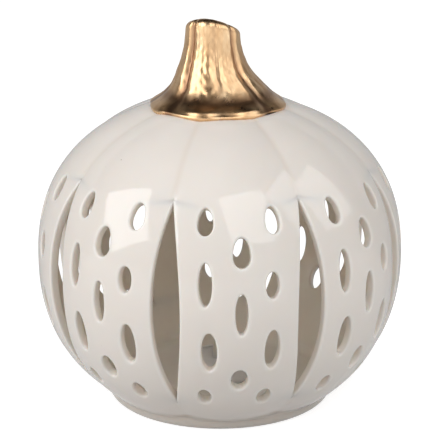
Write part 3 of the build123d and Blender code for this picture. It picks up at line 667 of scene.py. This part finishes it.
def glaze_material():
    """Warm white glossy glaze, painted lighter and warmer inside, with a painted highlight on the
    edges of the openings, pooled in creases and with painted shade round the foot.
    """
    n = material_nodes("glaze")
    inside = n.attribute("inside")
    cloud = n.noise(18.0, 3.0)
    outer = n.ramp(cloud, ((0.3, (0.82, 0.765, 0.715)), (0.7, (0.86, 0.81, 0.765))))
    # Inside: painted light, a paler and warmer copy of the glaze standing in for light inside the
    # lantern.
    inner = n.ramp(n.noise(60.0, 4.0), ((0.3, (0.96, 0.865, 0.765)), (0.7, (0.975, 0.90, 0.81))))
    share = n.ramp(inside, ((0.15, 0.0), (0.9, 1.0)))
    # Painted highlight round the openings.
    edge = n.ramp(n.attribute("edge"), ((0.2, 0.0), (1.0, 0.35)))
    crease = n.ramp(n.attribute("crease"), ((0.1, 0.0), (1.0, 0.25)))
    colour = n.mix(crease, outer, (0.72, 0.63, 0.54))
    colour = n.mix(edge, colour, (0.90, 0.87, 0.82))
    # Painted shade: darker and browner round the foot, most of all in the line above the foot ring.
    stops = ((0.08, 0.5), (0.19, 0.75), (0.26, 0.55), (0.46, 0.4), (1.0, 0.0))
    low = n.ramp(n.spread(n.axes(n.place())["Z"], 0.0, SHADE_BELOW), stops)
    colour = n.mix(low, colour, (0.62, 0.555, 0.49))
    colour = n.mix(share, colour, inner)
    # A few pin-head iron specks in the clay.
    cells = n.add("ShaderNodeTexVoronoi", Scale=95.0)
    n.link(n.place(), cells.inputs["Vector"])
    speck = n.ramp(cells.outputs["Distance"], ((0.018, 1.0), (0.03, 0.0)))
    rare = n.ramp(n.noise(31.0, 1.0), ((0.66, 0.0), (0.70, 1.0)))
    speck = n.mix(rare, (0.0, 0.0, 0.0), speck)
    colour = n.mix(speck, colour, (0.42, 0.33, 0.25))
    rough = n.ramp(n.noise(45.0, 3.0), ((0.3, 0.05), (0.7, 0.10)))
    rough = n.mix(share, rough, (0.2, 0.2, 0.2))
    broad = n.bump(n.noise(26.0, 2.0), 0.0006, 0.5)
    fine = n.bump(n.noise(420.0, 2.0), 0.00005, 0.35, broad)
    return n.set(
        Base_Color=colour,
        Roughness=rough,
        Normal=fine,
        IOR=1.52,
        Subsurface_Weight=0.3,
        Subsurface_Radius=(1.0, 0.7, 0.5),
        Subsurface_Scale=0.006,
        Coat_Weight=0.25,
        Coat_Roughness=0.06,
    )


def gilding_material():
    """Copper-gold lustre with painted shade in the grooves, the skirt's hollow and underneath, a
    little worn and uneven.
    """
    n = material_nodes("gilding")
    groove = n.attribute("groove")
    patch = n.noise(160.0, 4.0, 0.6, (1.0, 1.0, 0.35))
    stops = ((0.25, (0.70, 0.41, 0.20)), (0.5, (0.86, 0.565, 0.31)), (0.75, (0.95, 0.70, 0.43)))
    base = n.ramp(patch, stops)
    # Painted shade from the groove attribute.
    dark = n.ramp(groove, ((0.3, 0.0), (1.0, 0.85)))
    colour = n.mix(dark, base, (0.33, 0.17, 0.095))
    rough = n.ramp(n.noise(220.0, 3.0), ((0.3, 0.26), (0.7, 0.40)))
    streak = n.bump(n.noise(300.0, 2.5, 0.55, (1.0, 1.0, 0.3)), 0.0004, 0.2)
    grain = n.bump(n.noise(1100.0, 2.0), 0.0001, 0.2, streak)
    return n.set(
        Base_Color=colour, Metallic=1.0, Roughness=rough, Normal=grain,
        Coat_Weight=0.3, Coat_Roughness=0.2,
    )


def plain_material(name, colour, rough, metallic=0.0, grain=700.0, depth=0.00004, **more):
    """Moulded plastic, rubber or metal with slight mottling and a fine grain."""
    n = material_nodes(name)
    dark = tuple(0.88 * c for c in colour)
    tint = n.ramp(n.noise(90.0, 3.0), ((0.3, dark), (0.7, colour)))
    roughness = n.ramp(n.noise(200.0, 3.0), ((0.3, rough * 0.85), (0.7, min(1.0, rough * 1.15))))
    normal = n.bump(n.noise(grain, 3.0), depth, 0.5)
    return n.set(Base_Color=tint, Roughness=roughness, Metallic=metallic, Normal=normal, **more)


def brushed_material(name, colour, rough, stretch):
    """Metal with fine lines drawn along one direction."""
    n = material_nodes(name)
    lines = n.noise(900.0, 4.0, 0.6, stretch)
    tint = n.ramp(lines, ((0.3, tuple(0.8 * c for c in colour)), (0.7, colour)))
    roughness = n.ramp(lines, ((0.3, rough * 0.8), (0.7, rough * 1.3)))
    normal = n.bump(lines, 0.00003, 0.5)
    return n.set(Base_Color=tint, Roughness=roughness, Metallic=1.0, Normal=normal)


def flame_material():
    """Frosted translucent plastic of the flame lens, a little yellower towards its tip."""
    n = material_nodes("flame_lens")
    low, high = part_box("flame_lens")
    tip = n.spread(n.axes(n.place())["Z"], low.z, high.z)
    tint = n.ramp(tip, ((0.2, (0.86, 0.85, 0.82)), (1.0, (0.93, 0.84, 0.62))))
    frost = n.bump(n.noise(1500.0, 3.0), 0.00005, 0.6)
    rough = n.ramp(n.noise(500.0), ((0.3, 0.35), (0.7, 0.5)))
    return n.set(
        Base_Color=tint, Roughness=rough, Normal=frost, Transmission_Weight=0.35,
        Subsurface_Weight=0.4, Subsurface_Radius=(0.002, 0.002, 0.0015),
    )


def board_material():
    """Green solder mask with paler tracks under it."""
    n = material_nodes("circuit_board")
    tracks = n.add("ShaderNodeTexBrick", Scale=220.0, Mortar_Size=0.03)
    n.link(n.place(), tracks.inputs["Vector"])
    mask = n.ramp(n.noise(300.0), ((0.3, (0.03, 0.20, 0.08)), (0.7, (0.05, 0.27, 0.11))))
    colour = n.mix(tracks.outputs["Fac"], mask, (0.10, 0.38, 0.18))
    rough = n.ramp(n.noise(400.0), ((0.3, 0.28), (0.7, 0.4)))
    normal = n.bump(tracks.outputs["Fac"], 0.00003, 0.5)
    return n.set(Base_Color=colour, Roughness=rough, Normal=normal)


def dress(node, material, edge=0.0):
    """Gives a CAD node its material, and soft edges where edge (in metres) is not zero."""
    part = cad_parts[node]
    part.data.materials.clear()
    part.data.materials.append(material)
    if edge:
        bevel = part.modifiers.new("soft_edges", "BEVEL")
        bevel.width = edge
        bevel.segments = 2
        bevel.limit_method = "ANGLE"
        bevel.angle_limit = math.radians(40)


def show(made, material, node):
    """Shows a ceramic piece of the lantern in place of its CAD node."""
    made.data.materials.append(material)
    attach(made, "lantern")
    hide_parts(node)


# ------------------------------------------------------------------ the object
show(build_shell(), glaze_material(), "pumpkin_shell")
show(build_stem(), gilding_material(), "stem")

case_plastic = plain_material("case_plastic", (0.88, 0.87, 0.85), 0.42)
dress("unit_case", case_plastic, 0.0002)
dress("unit_base", case_plastic, 0.0002)
dress("battery_door", plain_material("door_plastic", (0.80, 0.79, 0.775), 0.48), 0.00015)
screw_metal = brushed_material("screw_nickel", (0.74, 0.72, 0.69), 0.25, (1.0, 1.0, 0.1))
dress("case_screws", screw_metal, 0.00006)
dress("door_screw", screw_metal, 0.00006)
silicone = plain_material("silicone", (0.48, 0.48, 0.47), 0.75, Subsurface_Weight=0.1)
dress("grip_ring", silicone, 0.0001)
cell_steel = brushed_material("cell_steel", (0.66, 0.66, 0.67), 0.28, (0.05, 1.0, 1.0))
dress("coin_cell", cell_steel, 0.0001)
dress("circuit_board", board_material())
dress("resistor", plain_material("resistor_body", (0.03, 0.03, 0.035), 0.5), 0.00005)
contact_metal = brushed_material("contact_spring", (0.78, 0.72, 0.58), 0.3, (0.1, 1.0, 1.0))
dress("positive_contact", contact_metal)
dress("negative_contact", contact_metal)
dress("led", plain_material("led_resin", (0.90, 0.84, 0.62), 0.12, Transmission_Weight=0.7))
dress("flame_lens", flame_material())
switch_plastic = plain_material("switch_plastic", (0.02, 0.02, 0.022), 0.4)
dress("switch_case", switch_plastic, 0.0001)
dress("switch_slider", switch_plastic, 0.0001)

# ------------------------------------------------------------------ floor, light and camera
FLOOR_GLOW = 0.78  # strength of the floor's own white, for the camera and in reflections
BELLY = Vector((0, 0, 0.085))
SOFTBOX_REACH = 1.3


def build_floor():
    """Pale floor that curves up gently far behind, so that it has no horizon."""
    side, front, back, bend, rise, steps = 6.0, -3.0, 3.0, 0.6, 2.5, 24
    vertices, faces = [], []
    for i in range(steps + 1):
        run = front + (back - front) * i / steps
        lift = rise * max(0.0, (run - bend) / (back - bend)) ** 2
        vertices += [(-side, run, lift), (side, run, lift)]
    for i in range(steps):
        faces.append((2 * i, 2 * i + 1, 2 * i + 3, 2 * i + 2))
    made = mesh_object("floor", np.array(vertices) / MM, faces)
    n = material_nodes("floor_paper")
    tint = n.ramp(n.noise(3.0), ((0.3, 0.50), (0.7, 0.52)))
    n.set(Base_Color=tint, Roughness=0.85, Specular_IOR_Level=0.1)
    # The floor is overexposed, as in a product photograph, without lighting the object more.
    # Its reflections are as bright only in front of the object and a little away from it; the
    # dimming next to it is a painted contact shadow.
    path = n.add("ShaderNodeLightPath").outputs
    in_front = n.spread(n.axes(n.place())["Y"], 0.15, -0.05, 0.15)
    away = n.add("ShaderNodeVectorMath", operation="LENGTH")
    n.link(n.place(), away.inputs[0])
    clear_of = n.spread(away.outputs["Value"], 0.07, 0.35, 0.55)
    mirrored = n.join("MULTIPLY", path["Is Glossy Ray"], n.join("MULTIPLY", in_front, clear_of))
    seen = n.join("MAXIMUM", path["Is Camera Ray"], mirrored)
    n.link(n.join("MULTIPLY", seen, FLOOR_GLOW), n.surface.inputs["Emission Strength"])
    n.set(Emission_Color=(1.0, 1.0, 1.0))
    # Seen from below the floor is clear, so that the underside can be looked at.
    side_seen = n.add("ShaderNodeNewGeometry")
    clear = n.add("ShaderNodeBsdfTransparent")
    paper = n.add("ShaderNodeMixShader")
    n.link(side_seen.outputs["Backfacing"], paper.inputs[0])
    n.link(n.surface.outputs["BSDF"], paper.inputs[1])
    n.link(clear.outputs["BSDF"], paper.inputs[2])
    n.link(paper.outputs["Shader"], n.tree.nodes["Material Output"].inputs["Surface"])
    made.data.materials.append(n.owner)


def bearing(turn, rise):
    """Unit vector at a turn from the front to the right and a rise from level, in radians."""
    return Vector((
        math.sin(turn) * math.cos(rise),
        -math.cos(turn) * math.cos(rise),
        math.sin(rise),
    ))


def softbox(name, turn, rise, width, height, radiance, roll=0.0):
    """A rectangular soft light that faces the belly from a turn and a rise in degrees."""
    away = bearing(math.radians(turn), math.radians(rise))
    data = bpy.data.lights.new(name, "AREA")
    data.shape = "RECTANGLE"
    data.size, data.size_y = width, height
    data.energy = math.pi * width * height * radiance
    lamp = bpy.data.objects.new(name, data)
    bpy.context.scene.collection.objects.link(lamp)
    lamp.location = BELLY + away * SOFTBOX_REACH
    facing = (-away).to_track_quat("-Z", "Y")
    lamp.rotation_euler = (facing @ Quaternion((0, 0, 1), math.radians(roll))).to_euler()


build_floor()
softbox("left_window", -71, 30, 0.85, 1.0, 2.7, 34)
softbox("front_window", 18, 42, 0.8, 1.0, 1.9)
softbox("right_window", 74, 38, 0.75, 0.9, 1.4)


def build_world():
    """White for the camera; paler near the horizon than overhead, most of all in reflections."""
    n = Nodes(bpy.data.worlds.new("studio"), "Background")
    across, along, up = n.axes(n.add("ShaderNodeTexCoord").outputs["Generated"])
    # Lighter on the left than on the right.
    diffuse = n.ramp(up, ((0.05, (0.90, 0.855, 0.80)), (0.6, 0.38)))
    diffuse = n.mix(1.0, diffuse, n.spread(across, -1.0, 1.0, 1.2, 0.55), "MULTIPLY")
    # Only the front half of the room is bright in reflections.
    mirrored = n.ramp(up, ((0.1, 0.85), (0.6, (0.05, 0.04, 0.032))))
    mirrored = n.mix(1.0, mirrored, n.spread(along, -0.2, 0.3, 1.0, 0.12), "MULTIPLY")
    path = n.add("ShaderNodeLightPath").outputs
    unseen = n.mix(path["Is Glossy Ray"], diffuse, mirrored)
    colour = n.mix(path["Is Camera Ray"], unseen, (1.0, 1.0, 1.0))
    n.link(colour, n.surface.inputs["Color"])
    bpy.context.scene.world = n.owner


build_world()
bpy.context.scene.view_settings.view_transform = "Standard"

# Camera at the standard product angle: a little from above, front lobe slightly to the right.
CAMERA_TURN, CAMERA_RISE = math.radians(-6.0), math.radians(17.97)
CAMERA_REACH = 0.8635
CAMERA_TARGET = Vector((0, 0, 0.0691))
toward_camera = bearing(CAMERA_TURN, CAMERA_RISE)
camera_data = bpy.data.cameras.new("camera")
camera_data.lens = 150.5
camera_data.sensor_width = 36.0
camera_data.shift_y = 30.0 / 440
camera = bpy.data.objects.new("camera", camera_data)
camera.location = CAMERA_TARGET + toward_camera * CAMERA_REACH
camera.rotation_euler = (-toward_camera).to_track_quat("-Z", "Y").to_euler()
bpy.context.scene.collection.objects.link(camera)
bpy.context.scene.camera = camera
